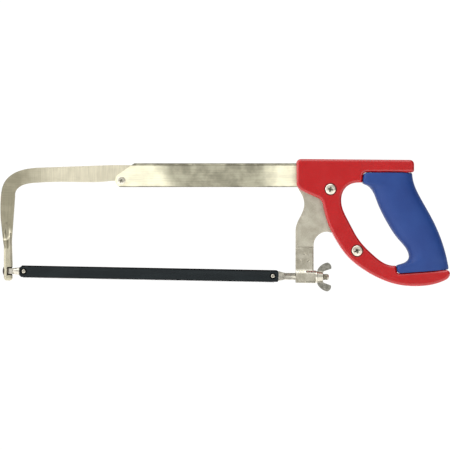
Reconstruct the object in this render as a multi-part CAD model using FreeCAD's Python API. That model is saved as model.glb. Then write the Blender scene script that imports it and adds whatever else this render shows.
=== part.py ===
import FreeCAD
import Part
import math
import os

# An adjustable hacksaw, in millimetres. +X runs from the nose to the handle, +Z is up, and the
# blade is put on from the -Y side. The origin is the middle of the hand grip.

# Back channel: an inverted U of folded sheet
CHANNEL_TOP = 58.9
CHANNEL_BOTTOM = 35.0
CHANNEL_HALF_WIDTH = 4.05
SHEET = 1.3
CHANNEL_FRONT = -296.3
CHANNEL_SLANT_TOP = -277.0
CHANNEL_REAR = -66.5

# Pin across the channel that the arm hooks on
PIN_X = -290.2
PIN_Z = 41.3
PIN_R = 2.0
PIN_HEAD_R = 4.1
PIN_HEAD_THICK = 1.1
HOOK_CLEARANCE = 0.1

# Front arm: a flat bar that slides in the channel
ARM_TOP = 57.0
ARM_BOTTOM = 41.2
ARM_HALF_THICK = 2.4
ARM_TAIL_X = -182.0
TAIL_BOTTOM = 43.8
SETTING_STEP = 50.0
TOOTH_WIDTH = 3.0
LEG_FRONT = -408.0
LEG_REAR = -400.3
LEG_REAR_AT_NOTCH = -399.4
LEG_HALF_WIDTH = 4.8
SWELL_TOP = -4.0
LEG_TOP = -11.0
SCOOP_R = 4.2
SCOOP_END = -18.5
LEG_FLARED = -42.0
LEG_BOTTOM = -58.7
LEG_END_R = 2.9
LEG_GROOVES = (-406.7, -404.0)
GROOVE_R = 0.8
GROOVE_TOP = -18.5
GROOVE_LENGTH = 7.5
NECK_SIDE = 6.2
NECK_HOLE = 7.0
NOTCH_FLOOR = 16.4
NOTCH_HEIGHT = 8.3
NOTCH_FAR_WALL = 0.8

# The tension line runs through both blade pins and drops slightly towards the handle
TENSION_TILT = 1.08
REAR_PIN = (-138.25, -54.2)
PIN_PITCH = 250.0

# Blade and its pins, along the tension line from the rear pin
FRONT_HEAD_CURVE = 9.5
FRONT_HEAD_RISE = 1.0
BLADE_THICK = 0.65
BLADE_FACE = -0.05
BLADE_UP = 5.9
BLADE_DOWN = 6.6
BLADE_FRONT_END = 4.3
BLADE_REAR_END = 5.6
BLADE_HOLE_R = 2.0
BLADE_PIN_R = 1.9
BLADE_PIN_PROUD = 1.3
TONGUE_THICK = 3.0

# Tension stud, sleeve, washer and wing nut, along the tension line from the rear pin
SPADE_HEIGHT = 10.4
SPADE_SHOULDER = 4.7
SHANK_START = 11.6
SHANK_SIDE = 6.8
THREAD_START = 38.7
THREAD_END = 56.1
THREAD_R = 3.4
SLEEVE_START = 22.9
SLEEVE_END = 42.6
SLEEVE_SIDE = 12.6
STRAP = 2.4
WASHER_R = 6.3
WASHER_THICK = 1.3
NUT_START = 43.95
NUT_END = 50.2
NUT_BASE_R = 6.0
NUT_CROWN_R = 4.9
NUT_BORE_R = 3.5
WING_HALF_THICK = 1.6

# Tang plate
TANG_HALF_THICK = 2.4
TANG_LEFT = -115.5
STEM_RIGHT = -97.4
STEM_BOTTOM = -50.6
STRAP_TOP = -25.6
STRAP_RIGHT = -98.4
RIVETS = [(-102.0, 47.2), (-73.5, 47.2)]
RIVET_R = 2.5
RIVET_HEAD_R = 4.0
RIVET_HEAD_THICK = 1.2

# Handle
HANDLE_HALF = 11.0
HANDLE_ROUND = 2.8
CORE_HALF = 8.0
GRIP_HALF = 14.0
GRIP_ROUND = 1.5
POCKET_GAP = 0.2
UPPER_SCREW = (-80.8, 32.7)
LOWER_SCREW = (-54.2, -28.8)
SCREW_HEAD_R = 5.5
COUNTERBORE_R = 6.3
COUNTERBORE_DEPTH = 2.2
SCREW_HEAD_PROUD = 0.3
SCREW_R = 2.4
SCREW_TIP = 4.0
BARREL_R = 3.4
BARREL_TIP = -4.0

V = FreeCAD.Vector
ALONG_Y = V(0, 1, 0)
PARTS = {}


class Outline:
    """A closed outline in the XZ plane, drawn edge after edge from a first point."""

    def __init__(self, x, z):
        self.start = V(x, 0, z)
        self.here = self.start
        self.edges = []

    def line(self, x, z):
        end = V(x, 0, z)
        self.edges.append(Part.LineSegment(self.here, end).toShape())
        self.here = end
        return self

    def arc(self, middle, end):
        middle = V(middle[0], 0, middle[1])
        end = V(end[0], 0, end[1])
        self.edges.append(Part.Arc(self.here, middle, end).toShape())
        self.here = end
        return self

    def curve(self, *points):
        through = [self.here] + [V(x, 0, z) for x, z in points]
        spline = Part.BSplineCurve()
        spline.interpolate(through)
        self.edges.append(spline.toShape())
        self.here = through[-1]
        return self

    def face(self):
        if self.here.distanceToPoint(self.start) > 1e-6:
            self.line(self.start.x, self.start.z)
        return Part.Face(Part.Wire(self.edges))

    def plate(self, y_low, y_high):
        face = self.face()
        face.translate(V(0, y_low, 0))
        return face.extrude(V(0, y_high - y_low, 0))


def box(x_low, x_high, y_low, y_high, z_low, z_high):
    corner = V(x_low, y_low, z_low)
    return Part.makeBox(x_high - x_low, y_high - y_low, z_high - z_low, corner)


def cross_cylinder(x, z, radius, y_low, y_high):
    """A cylinder across the saw, along Y."""
    return Part.makeCylinder(radius, y_high - y_low, V(x, y_low, z), ALONG_Y)


def long_cylinder(radius, x_low, x_high):
    """A cylinder along the tension line's own X axis."""
    return Part.makeCylinder(radius, x_high - x_low, V(x_low, 0, 0), V(1, 0, 0))


def long_cone(radius_low, radius_high, x_low, x_high):
    return Part.makeCone(radius_low, radius_high, x_high - x_low, V(x_low, 0, 0), V(1, 0, 0))


def square_bar(side, x_low, x_high):
    half = side / 2
    return box(x_low, x_high, -half, half, -half, half)


def on_tension_line(shape):
    """Move a shape from the tension line's frame, whose origin is the rear pin, to its place."""
    shape.rotate(V(0, 0, 0), ALONG_Y, TENSION_TILT)
    shape.translate(V(REAR_PIN[0], 0, REAR_PIN[1]))
    return shape


def edges_in_plane_y(shape, y):
    """The edges that lie wholly in the plane at this y."""
    found = []
    for edge in shape.Edges:
        bounds = edge.BoundBox
        if abs(bounds.YMin - y) < 1e-4 and abs(bounds.YMax - y) < 1e-4:
            found.append(edge)
    return found


def edges_along(shape, axis, longer_than):
    """Straight edges parallel to an axis and longer than a length."""
    found = []
    for edge in shape.Edges:
        if edge.Length < longer_than or len(edge.Vertexes) != 2:
            continue
        run = edge.Vertexes[1].Point.sub(edge.Vertexes[0].Point)
        if abs(run.normalize().dot(axis)) > 0.9999:
            found.append(edge)
    return found


# ---- back channel ---------------------------------------------------------------------------

def channel_side(y_low, y_high, top, bottom, front_offset):
    """The channel's side view, with its slanted, rounded front end."""
    outline = Outline(CHANNEL_REAR, top)
    outline.line(CHANNEL_SLANT_TOP, top)
    outline.line(-294.2 + front_offset, 46.9)
    outline.arc((CHANNEL_FRONT + front_offset, 41.2), (-291.4 + front_offset, bottom))
    outline.line(CHANNEL_REAR, bottom)
    return outline.plate(y_low, y_high)


def back_channel():
    outer = channel_side(-CHANNEL_HALF_WIDTH, CHANNEL_HALF_WIDTH, CHANNEL_TOP, CHANNEL_BOTTOM, 0)
    top_edges = []
    for edge in edges_along(outer, V(1, 0, 0), 100):
        if edge.BoundBox.ZMin > CHANNEL_TOP - 0.01:
            top_edges.append(edge)
    outer = outer.makeFillet(2.6, top_edges)
    inner_half = CHANNEL_HALF_WIDTH - SHEET
    hollow = box(CHANNEL_FRONT - 5, CHANNEL_REAR + 5, -inner_half, inner_half,
                 CHANNEL_BOTTOM - 5, CHANNEL_TOP - SHEET)
    shape = outer.cut(hollow)
    reach = CHANNEL_HALF_WIDTH + 1
    shape = shape.cut(cross_cylinder(PIN_X, PIN_Z, PIN_R, -reach, reach))
    for x, z in RIVETS:
        shape = shape.cut(cross_cylinder(x, z, RIVET_R, -reach, reach))
    # room for the upper handle screw, which passes just under the channel's edge
    return shape.cut(cross_cylinder(UPPER_SCREW[0], UPPER_SCREW[1], BARREL_R + 0.8, -reach, reach))


def headed_pin(x, z, radius, head_radius, head_thick, half_width):
    """A pin across the channel with a low head on each side."""
    shape = cross_cylinder(x, z, radius, -half_width, half_width)
    for low in (-half_width - head_thick, half_width):
        head = cross_cylinder(x, z, head_radius, low, low + head_thick)
        outside = low if low < 0 else low + head_thick
        head = head.makeFillet(0.5, edges_in_plane_y(head, outside))
        shape = shape.fuse(head)
    return shape


def channel_pin():
    return headed_pin(PIN_X, PIN_Z, PIN_R, PIN_HEAD_R, PIN_HEAD_THICK, CHANNEL_HALF_WIDTH)


def tang_rivets():
    rivets = []
    for x, z in RIVETS:
        rivets.append(headed_pin(x, z, RIVET_R, RIVET_HEAD_R, RIVET_HEAD_THICK, CHANNEL_HALF_WIDTH))
    return Part.makeCompound(rivets)


# ---- front arm ------------------------------------------------------------------------------

def section_at(z, x_low, x_high, half_width):
    corners = [(x_low, -half_width), (x_high, -half_width), (x_high, half_width), (x_low, half_width)]
    return Part.makePolygon([V(x, y, z) for x, y in corners + corners[:1]])


def leg_outline():
    """The leg's side view: it widens a little towards the notch and has rounded lower corners."""
    bend = LEG_END_R * (1 - math.sqrt(0.5))
    outline = Outline(LEG_FRONT, LEG_TOP)
    outline.line(LEG_REAR, LEG_TOP)
    outline.line(LEG_REAR_AT_NOTCH, LEG_FLARED)
    outline.line(LEG_REAR_AT_NOTCH, LEG_BOTTOM + LEG_END_R)
    outline.arc((LEG_REAR_AT_NOTCH - bend, LEG_BOTTOM + bend), (LEG_REAR_AT_NOTCH - LEG_END_R, LEG_BOTTOM))
    outline.line(LEG_FRONT + LEG_END_R, LEG_BOTTOM)
    outline.arc((LEG_FRONT + bend, LEG_BOTTOM + bend), (LEG_FRONT, LEG_BOTTOM + LEG_END_R))
    return outline


def front_arm():
    seat_r = PIN_R + HOOK_CLEARANCE
    outline = Outline(ARM_TAIL_X, ARM_TOP)
    outline.line(-300.0, ARM_TOP)
    outline.curve((-331.5, 55.9), (-366.6, 54.8), (-385.7, 53.0), (-399.7, 47.7), (-407.8, 39.0),
                  (-411.0, 25.0), (-411.2, 5.0), (-408.9, -18.0))
    outline.line(LEG_FRONT, LEG_TOP - 13.0)
    outline.line(LEG_REAR, LEG_TOP - 13.0)
    outline.line(-399.9, -15.9)
    outline.line(-396.9, 25.6)
    outline.curve((-394.6, 33.2), (-387.2, 37.6), (-376.6, 39.3), (-351.6, 40.3), (-300.0, ARM_BOTTOM))
    outline.line(PIN_X, ARM_BOTTOM)
    outline.line(PIN_X, TAIL_BOTTOM)
    tooth_rear = PIN_X + SETTING_STEP
    tooth_front = tooth_rear - seat_r - TOOTH_WIDTH
    outline.line(tooth_front, TAIL_BOTTOM)
    outline.line(tooth_front, ARM_BOTTOM)
    outline.line(tooth_rear, ARM_BOTTOM)
    outline.line(tooth_rear, TAIL_BOTTOM)
    outline.line(ARM_TAIL_X, TAIL_BOTTOM)
    bar = outline.plate(-ARM_HALF_THICK, ARM_HALF_THICK)
    for x in (PIN_X, PIN_X + SETTING_STEP):
        bar = bar.cut(cross_cylinder(x, PIN_Z, seat_r, -5, 5))

    # the leg is squeezed narrower and thicker towards its lower end
    upper = section_at(SWELL_TOP, -409.8, -399.2, ARM_HALF_THICK - 0.01)
    lower = section_at(LEG_TOP, LEG_FRONT, LEG_REAR, LEG_HALF_WIDTH)
    swell = Part.makeLoft([upper, lower], True)
    leg = leg_outline().plate(-LEG_HALF_WIDTH, LEG_HALF_WIDTH)
    corners = [edge for edge in leg.Edges if edge.BoundBox.YLength < 0.01 and edge.Length > 0.5
               and edge.BoundBox.ZMax < LEG_TOP + 0.01 and edge.BoundBox.ZLength > 0.1]
    leg = leg.makeFillet(2.6, corners)
    arm = bar.fuse(swell).fuse(leg).cut(stud_passage())
    for side in (-1, 1):
        arm = arm.cut(leg_scoop(side))
        for x in LEG_GROOVES:
            low_end = V(x, side * LEG_HALF_WIDTH, GROOVE_TOP - GROOVE_LENGTH)
            arm = arm.cut(Part.makeCylinder(GROOVE_R, GROOVE_LENGTH, low_end))
    return arm


def leg_scoop(side):
    """The bar's flat face runs down into the thick leg as a hollow with a rounded end."""
    fall = V(0, side * (LEG_HALF_WIDTH - ARM_HALF_THICK), SCOOP_END - SWELL_TOP)
    middle = (LEG_FRONT + LEG_REAR) / 2
    start = V(middle, side * (ARM_HALF_THICK + SCOOP_R), SWELL_TOP)
    beyond = V(fall).normalize().multiply(4)
    return Part.makeCylinder(SCOOP_R, fall.Length + 12, start.sub(beyond), fall)


def stud_passage():
    """The square hole that the front stud passes through, and the notch, which has a far wall."""
    front = -PIN_PITCH - 30.0
    mouth = on_tension_line(box(-PIN_PITCH - NOTCH_FLOOR, -PIN_PITCH - 5,
                                -10, LEG_HALF_WIDTH - NOTCH_FAR_WALL,
                                -NOTCH_HEIGHT / 2, NOTCH_HEIGHT / 2))
    return mouth.fuse(on_tension_line(square_bar(NECK_HOLE, front, -PIN_PITCH - 10)))


# ---- front stud and blade pins --------------------------------------------------------------

def blade_pin(x):
    pin = cross_cylinder(x, 0, BLADE_PIN_R, BLADE_FACE - BLADE_THICK - BLADE_PIN_PROUD, TONGUE_THICK)
    tip = BLADE_FACE - BLADE_THICK - BLADE_PIN_PROUD
    return on_tension_line(pin.makeFillet(0.6, edges_in_plane_y(pin, tip)))


def front_stud():
    front = -PIN_PITCH
    under_head = front - 20.2
    head = Part.makeSphere(FRONT_HEAD_CURVE, V(under_head - FRONT_HEAD_RISE + FRONT_HEAD_CURVE, 0, 0))
    head = head.common(box(under_head - 2, under_head, -10, 10, -10, 10))
    neck = square_bar(NECK_SIDE, under_head, front - 11.0)
    neck = neck.makeFillet(0.9, edges_along(neck, V(1, 0, 0), 5))
    shape = head.fuse(neck)
    shape = shape.fuse(long_cone(2.9, 3.6, front - 11.2, front - 7.4))
    shape = shape.fuse(long_cylinder(3.1, front - 7.4, front - 6.8))
    shape = shape.fuse(long_cylinder(3.7, front - 6.8, front - 4.6))
    tongue = box(front - 4.8, front, 0, TONGUE_THICK, -4.3, 4.3)
    tongue = tongue.fuse(cross_cylinder(front, 0, 4.3, 0, TONGUE_THICK))
    shape = shape.fuse(tongue).cut(cross_cylinder(front, 0, BLADE_PIN_R, -5, 5))
    return on_tension_line(shape.removeSplitter())


def front_blade_pin():
    return blade_pin(-PIN_PITCH)


def rear_blade_pin():
    return blade_pin(0)


def saw_blade():
    front = -PIN_PITCH - BLADE_FRONT_END
    slant = 2.6
    outline = Outline(front, BLADE_UP - slant)
    outline.line(front + slant, BLADE_UP)
    outline.line(BLADE_REAR_END - 3.0, BLADE_UP)
    outline.arc((BLADE_REAR_END - 0.7, BLADE_UP - 0.9), (BLADE_REAR_END, BLADE_UP - 3.0))
    outline.line(BLADE_REAR_END, -BLADE_DOWN + 3.0)
    outline.arc((BLADE_REAR_END - 0.7, -BLADE_DOWN + 0.9), (BLADE_REAR_END - 3.0, -BLADE_DOWN))
    outline.line(front + slant, -BLADE_DOWN)
    outline.line(front, -BLADE_DOWN + slant)
    shape = outline.plate(BLADE_FACE - BLADE_THICK, BLADE_FACE)
    for x in (-PIN_PITCH, 0):
        shape = shape.cut(cross_cylinder(x, 0, BLADE_HOLE_R, -5, 5))
    return on_tension_line(shape)


# ---- tension stud, sleeve, washer and wing nut ----------------------------------------------

def tension_stud():
    half = SPADE_HEIGHT / 2
    outline = Outline(0, half)
    outline.line(SPADE_SHOULDER, half)
    outline.line(SHANK_START - 0.8, 3.6)
    outline.line(SHANK_START + 1, SHANK_SIDE / 2)
    outline.line(SHANK_START + 1, -SHANK_SIDE / 2)
    outline.line(SHANK_START - 0.8, -3.6)
    outline.line(SPADE_SHOULDER, -half)
    outline.line(0, -half)
    outline.arc((-half, 0), (0, half))
    spade = outline.plate(0, TONGUE_THICK)
    shank = square_bar(SHANK_SIDE, SHANK_START, THREAD_START)
    shank = shank.makeChamfer(0.7, edges_along(shank, V(1, 0, 0), 20))
    thread = long_cylinder(THREAD_R, THREAD_START, THREAD_END)
    thread = thread.makeChamfer(0.5, [max(thread.Edges, key=lambda edge: edge.BoundBox.XMin)])
    shape = spade.fuse(shank).fuse(thread).cut(cross_cylinder(0, 0, BLADE_PIN_R, -5, 5))
    return on_tension_line(shape.removeSplitter())


def stud_sleeve():
    tube = square_bar(SLEEVE_SIDE, SLEEVE_START, SLEEVE_END)
    tube = tube.makeFillet(2.2, edges_along(tube, V(1, 0, 0), 10))
    tube = tube.cut(square_bar(SLEEVE_SIDE - 2 * STRAP, SLEEVE_START - 1, SLEEVE_END + 1))
    tube = on_tension_line(tube)
    outside = TANG_HALF_THICK + STRAP
    laps = box(TANG_LEFT, STRAP_RIGHT, -outside, outside, -50.0, STRAP_TOP)
    laps = laps.makeFillet(0.5, edges_along(laps, V(1, 0, 0), 10) + edges_along(laps, V(0, 0, 1), 10))
    stem_slot = box(TANG_LEFT - 1, STEM_RIGHT + 3, -TANG_HALF_THICK, TANG_HALF_THICK, -52.0, 0)
    inside = on_tension_line(square_bar(SLEEVE_SIDE - 2 * STRAP, SLEEVE_START - 1, SLEEVE_END + 1))
    shape = tube.fuse(laps).cut(stem_slot).cut(inside)
    # shallow marks of the spot welds
    for x, z in ((-106.4, -31.9), (-110.6, -39.2), (-102.6, -39.2)):
        for y in (-outside - 2.6, outside + 2.6):
            shape = shape.cut(Part.makeSphere(3.0, V(x, y, z)))
    return shape.removeSplitter()


def thrust_washer():
    low = SLEEVE_END + 0.05
    shape = long_cylinder(WASHER_R, low, low + WASHER_THICK)
    shape = shape.cut(long_cylinder(NUT_BORE_R, low - 1, low + WASHER_THICK + 1))
    return on_tension_line(shape)


def wing_nut():
    hub = long_cone(NUT_BASE_R, NUT_CROWN_R, NUT_START, NUT_END)
    wing = Outline(NUT_START + 0.6, 3.6)
    wing.line(NUT_START + 0.8, 7.2)
    wing.curve((47.0, 10.4), (50.0, 12.8), (54.6, 14.5))
    wing.arc((56.8, 13.4), (58.5, 9.4))
    wing.arc((58.3, 8.5), (57.5, 8.0))
    wing.curve((54.5, 7.0), (51.0, 5.7))
    wing.line(NUT_END - 0.4, 3.6)
    upper = wing.plate(-WING_HALF_THICK, WING_HALF_THICK)
    lower = upper.copy()
    lower.rotate(V(0, 0, 0), V(1, 0, 0), 180)
    shape = hub.fuse(upper).fuse(lower)
    shape = shape.cut(long_cylinder(NUT_BORE_R, NUT_START - 5, NUT_END + 5))
    return on_tension_line(shape.removeSplitter())


# ---- tang plate -----------------------------------------------------------------------------

def tang_outline():
    outline = Outline(-113.7, CHANNEL_TOP - SHEET - 0.2)
    outline.line(CHANNEL_REAR, CHANNEL_TOP - SHEET - 0.2)
    outline.line(CHANNEL_REAR, 45.0)
    outline.curve((-71.5, 37.0), (-74.4, 23.0), (-68.5, 3.5), (-59.0, -13.0), (-45.5, -29.5))
    outline.arc((-44.6, -35.0), (-50.0, -39.0))
    outline.curve((-59.0, -33.6), (-66.5, -25.0), (-73.5, -14.5))
    outline.curve((-78.7, -11.2), (-85.5, -9.9), (-91.5, -12.2), (-96.0, -17.3), (STEM_RIGHT, -22.5))
    outline.line(STEM_RIGHT, STEM_BOTTOM)
    outline.line(TANG_LEFT, STEM_BOTTOM)
    outline.line(TANG_LEFT, -8.5)
    outline.curve((-113.2, 0.5), (-108.8, 9.5), (-106.8, 17.0), (-108.0, 24.6), (-111.0, 30.4),
                  (-113.7, 34.8))
    return outline


def tang_plate():
    shape = tang_outline().plate(-TANG_HALF_THICK, TANG_HALF_THICK)
    for x, z in RIVETS:
        shape = shape.cut(cross_cylinder(x, z, RIVET_R, -5, 5))
    for x, z in (UPPER_SCREW, LOWER_SCREW):
        shape = shape.cut(cross_cylinder(x, z, BARREL_R + 0.1, -5, 5))
    return shape


# ---- handle ---------------------------------------------------------------------------------

def red_outline():
    """Top bar, front leg and bottom bar of the D, open where the grip goes."""
    outline = Outline(-110.3, 63.0)
    outline.line(-1.4, 62.1)
    outline.arc((1.6, 60.8), (2.9, 57.8))
    outline.line(2.9, 51.6)
    outline.arc((2.3, 50.2), (0.9, 49.6))
    outline.line(-44.2, 49.6)
    outline.arc((-47.2, 48.6), (-48.5, 45.8))
    outline.line(-49.3, 39.2)
    outline.curve((-54.7, 39.2), (-62.7, 36.6), (-68.0, 30.6), (-70.0, 21.6), (-68.2, 12.0),
                  (-64.0, 3.0), (-50.2, -20.6), (-38.5, -32.6), (-27.0, -41.2), (-15.5, -43.8))
    outline.line(-14.7, -49.0)
    outline.arc((-13.8, -50.8), (-11.9, -51.5))
    outline.line(35.0, -48.1)
    outline.arc((37.8, -49.2), (38.9, -52.0))
    outline.curve((37.6, -55.4), (31.8, -59.3), (18.0, -63.3), (2.5, -64.3), (-12.0, -63.0),
                  (-30.6, -57.1), (-47.9, -47.5), (-62.5, -35.6), (-75.4, -17.6), (-84.0, 0.5),
                  (-87.2, 12.0), (-88.6, 18.2))
    outline.arc((-90.4, 21.8), (-94.0, 24.3))
    outline.curve((-102.0, 27.7), (-110.2, 31.7))
    outline.arc((-113.5, 34.8), (-114.8, 39.0))
    outline.line(-114.8, 58.5)
    outline.arc((-113.5, 61.7), (-110.3, 63.0))
    return outline


def grip_outline():
    """The rubber grip between the two bars, with its edge along the finger opening."""
    outline = Outline(-43.9, 49.3)
    outline.line(-0.4, 49.3)
    outline.arc((1.0, 48.8), (1.6, 47.4))
    outline.curve((3.1, 39.0), (8.0, 27.4), (16.5, 12.2), (25.9, -6.0), (32.4, -23.0), (37.9, -45.6))
    outline.arc((37.6, -47.2), (36.2, -47.9))
    outline.line(-10.6, -51.2)
    outline.arc((-13.3, -50.2), (-14.3, -47.6))
    outline.line(-14.9, -43.6)
    outline.curve((-7.0, -41.3), (-2.2, -37.0), (-2.8, -30.3), (-12.2, -17.6), (-24.3, 0.5),
                  (-33.3, 19.0), (-37.3, 29.0), (-42.0, 35.4), (-48.7, 38.6))
    outline.line(-48.0, 45.5)
    outline.arc((-46.8, 48.2), (-43.9, 49.3))
    return outline


def core_outline():
    """The stiff core inside the grip, which joins the top bar to the bottom bar."""
    outline = Outline(-38.0, 51.5)
    outline.line(-3.0, 51.5)
    outline.curve((-1.5, 40.0), (11.0, 14.0), (25.8, -17.0), (30.5, -38.0), (30.0, -52.0))
    outline.line(-1.0, -53.5)
    outline.curve((4.0, -38.0), (1.0, -28.0), (-19.0, 1.0), (-31.0, 26.0), (-38.0, 40.0))
    return outline


def steel_pocket():
    """What the two shells are hollowed for: channel, plate, rivets and the screws' shafts."""
    half = CHANNEL_HALF_WIDTH + POCKET_GAP
    pocket = box(-120, CHANNEL_REAR + POCKET_GAP, -half, half,
                 CHANNEL_BOTTOM - POCKET_GAP, CHANNEL_TOP + POCKET_GAP)
    plate_half = TANG_HALF_THICK + POCKET_GAP / 2
    pocket = pocket.fuse(tang_outline().plate(-plate_half, plate_half))
    rivet_half = CHANNEL_HALF_WIDTH + RIVET_HEAD_THICK + POCKET_GAP
    for x, z in RIVETS:
        pocket = pocket.fuse(cross_cylinder(x, z, RIVET_HEAD_R + POCKET_GAP, -rivet_half, rivet_half))
    for x, z in (UPPER_SCREW, LOWER_SCREW):
        pocket = pocket.fuse(cross_cylinder(x, z, BARREL_R + 0.1, -HANDLE_HALF, HANDLE_HALF))
    return pocket


def handle_shell(side):
    low, high = sorted((0, side * HANDLE_HALF))
    shell = red_outline().plate(low, high)
    shell = shell.makeFillet(HANDLE_ROUND, edges_in_plane_y(shell, side * HANDLE_HALF))
    low, high = sorted((0, side * CORE_HALF))
    shell = shell.fuse(core_outline().plate(low, high)).cut(steel_pocket())
    floor = side * (HANDLE_HALF - COUNTERBORE_DEPTH)
    low, high = sorted((floor, side * (HANDLE_HALF + 1)))
    for x, z in (UPPER_SCREW, LOWER_SCREW):
        shell = shell.cut(cross_cylinder(x, z, COUNTERBORE_R, low, high))
    return shell


def grip_pad(side):
    low, high = sorted((0, side * GRIP_HALF))
    pad = grip_outline().plate(low, high)
    pad = pad.makeFillet(GRIP_ROUND, edges_in_plane_y(pad, side * GRIP_HALF))
    low, high = sorted((0, side * CORE_HALF))
    return pad.cut(core_outline().plate(low, high))


def screw_head(x, z, side):
    low, high = sorted((side * (HANDLE_HALF - COUNTERBORE_DEPTH), side * (HANDLE_HALF + SCREW_HEAD_PROUD)))
    head = cross_cylinder(x, z, SCREW_HEAD_R, low, high)
    return head.makeFillet(0.8, edges_in_plane_y(head, side * (HANDLE_HALF + SCREW_HEAD_PROUD)))


def handle_screw(x, z):
    """Head on the near side; a cross recess; the shaft screws into the barrel nut."""
    under_head = -HANDLE_HALF + COUNTERBORE_DEPTH
    shape = screw_head(x, z, -1).fuse(cross_cylinder(x, z, SCREW_R, under_head, SCREW_TIP))
    outside = -HANDLE_HALF - SCREW_HEAD_PROUD
    for long_x, long_z in ((3.0, 0.7), (0.7, 3.0)):
        shape = shape.cut(box(x - long_x, x + long_x, outside - 1, outside + 1.3,
                              z - long_z, z + long_z))
    return shape


def barrel_nut(x, z):
    under_head = HANDLE_HALF - COUNTERBORE_DEPTH
    shape = screw_head(x, z, 1).fuse(cross_cylinder(x, z, BARREL_R, BARREL_TIP, under_head))
    return shape.cut(cross_cylinder(x, z, SCREW_R, BARREL_TIP - 1, SCREW_TIP + 2))


PARTS["back_channel"] = back_channel()
PARTS["channel_pin"] = channel_pin()
PARTS["tang_rivets"] = tang_rivets()
PARTS["tang_plate"] = tang_plate()
PARTS["stud_sleeve"] = stud_sleeve()
PARTS["handle_near_shell"] = handle_shell(-1)
PARTS["handle_far_shell"] = handle_shell(1)
PARTS["near_grip_pad"] = grip_pad(-1)
PARTS["far_grip_pad"] = grip_pad(1)
PARTS["upper_handle_screw"] = handle_screw(*UPPER_SCREW)
PARTS["lower_handle_screw"] = handle_screw(*LOWER_SCREW)
PARTS["upper_barrel_nut"] = barrel_nut(*UPPER_SCREW)
PARTS["lower_barrel_nut"] = barrel_nut(*LOWER_SCREW)
PARTS["front_arm"] = front_arm()
PARTS["front_stud"] = front_stud()
PARTS["front_blade_pin"] = front_blade_pin()
PARTS["saw_blade"] = saw_blade()
PARTS["tension_stud"] = tension_stud()
PARTS["rear_blade_pin"] = rear_blade_pin()
PARTS["thrust_washer"] = thrust_washer()
PARTS["wing_nut"] = wing_nut()

os.makedirs("parts", exist_ok=True)
for name, shape in PARTS.items():
    if not shape.isValid():
        raise RuntimeError(name + " is not a valid solid")
    shape.exportStep("parts/" + name + ".step")
    bounds = shape.BoundBox
    print("%-20s solids %d  volume %9.1f  x %7.1f..%7.1f  y %6.1f..%6.1f  z %6.1f..%6.1f" % (
        name, len(shape.Solids), shape.Volume, bounds.XMin, bounds.XMax,
        bounds.YMin, bounds.YMax, bounds.ZMin, bounds.ZMax))
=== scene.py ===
import math

import bmesh
import bpy
from mathutils import Matrix, Vector


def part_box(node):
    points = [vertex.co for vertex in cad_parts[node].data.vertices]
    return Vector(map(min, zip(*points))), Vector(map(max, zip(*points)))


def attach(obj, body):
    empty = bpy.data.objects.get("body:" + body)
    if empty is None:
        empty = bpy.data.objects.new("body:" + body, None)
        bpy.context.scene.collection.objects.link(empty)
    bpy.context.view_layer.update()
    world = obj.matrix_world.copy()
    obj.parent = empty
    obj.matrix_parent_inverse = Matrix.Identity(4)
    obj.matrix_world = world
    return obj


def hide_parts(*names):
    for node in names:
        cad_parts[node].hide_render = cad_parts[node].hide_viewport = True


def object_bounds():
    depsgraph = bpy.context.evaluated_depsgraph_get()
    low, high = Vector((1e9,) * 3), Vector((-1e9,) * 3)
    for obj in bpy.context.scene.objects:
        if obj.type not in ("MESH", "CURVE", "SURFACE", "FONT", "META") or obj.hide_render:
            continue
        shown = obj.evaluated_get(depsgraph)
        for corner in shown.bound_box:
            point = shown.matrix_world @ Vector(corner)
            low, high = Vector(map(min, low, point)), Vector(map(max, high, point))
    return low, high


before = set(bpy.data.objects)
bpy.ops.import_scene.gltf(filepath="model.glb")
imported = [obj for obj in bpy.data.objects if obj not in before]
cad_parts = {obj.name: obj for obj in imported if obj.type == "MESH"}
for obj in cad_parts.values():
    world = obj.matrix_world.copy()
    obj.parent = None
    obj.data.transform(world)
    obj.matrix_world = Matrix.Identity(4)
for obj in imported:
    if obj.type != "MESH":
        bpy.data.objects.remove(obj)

cad_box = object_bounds()
MM = 0.001


# ---- The view ---------------------------------------------------------------------------------
# The saw is seen square on from its left side, with the nose to the left. A long lens from two
# and a half metres keeps the frame's edges parallel.

low, high = cad_box
middle = (low + high) / 2
LENS_MM = 200
SENSOR_MM = 36
VIEW_MARGIN = 1.0025
VIEW_RAISE_MM = 0.3
camera_data = bpy.data.cameras.new("view_camera")
camera_data.lens = LENS_MM
camera_data.sensor_width = SENSOR_MM
camera = bpy.data.objects.new("view_camera", camera_data)
view_distance = (high.x - low.x) * VIEW_MARGIN * LENS_MM / SENSOR_MM
camera.location = (middle.x, -view_distance, middle.z + VIEW_RAISE_MM * MM)
camera.rotation_euler = (math.radians(90), 0, 0)
bpy.context.scene.collection.objects.link(camera)
bpy.context.scene.camera = camera
bpy.context.scene.view_settings.view_transform = "Standard"


# ---- The studio -------------------------------------------------------------------------------
# A white room with soft light: a broad bright ring round the camera with a dimmer patch in its
# middle, bright boards above, below and left, a dark gap behind them, and a pale floor far below.

def srgb(code):
    """An sRGB hex colour as linear RGBA."""
    channels = [int(code[i:i + 2], 16) / 255 for i in (0, 2, 4)]
    return [c / 12.92 if c <= 0.04045 else ((c + 0.055) / 1.055) ** 2.4 for c in channels] + [1.0]


def add(tree, kind, inputs=(), **settings):
    """Add a node with its settings. Each input is a value or the socket that feeds it."""
    node = tree.nodes.new(kind)
    for name, value in settings.items():
        setattr(node, name, value)
    for key, value in dict(inputs).items():
        if isinstance(value, bpy.types.NodeSocket):
            tree.links.new(value, node.inputs[key])
        else:
            node.inputs[key].default_value = value
    return node


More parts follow.
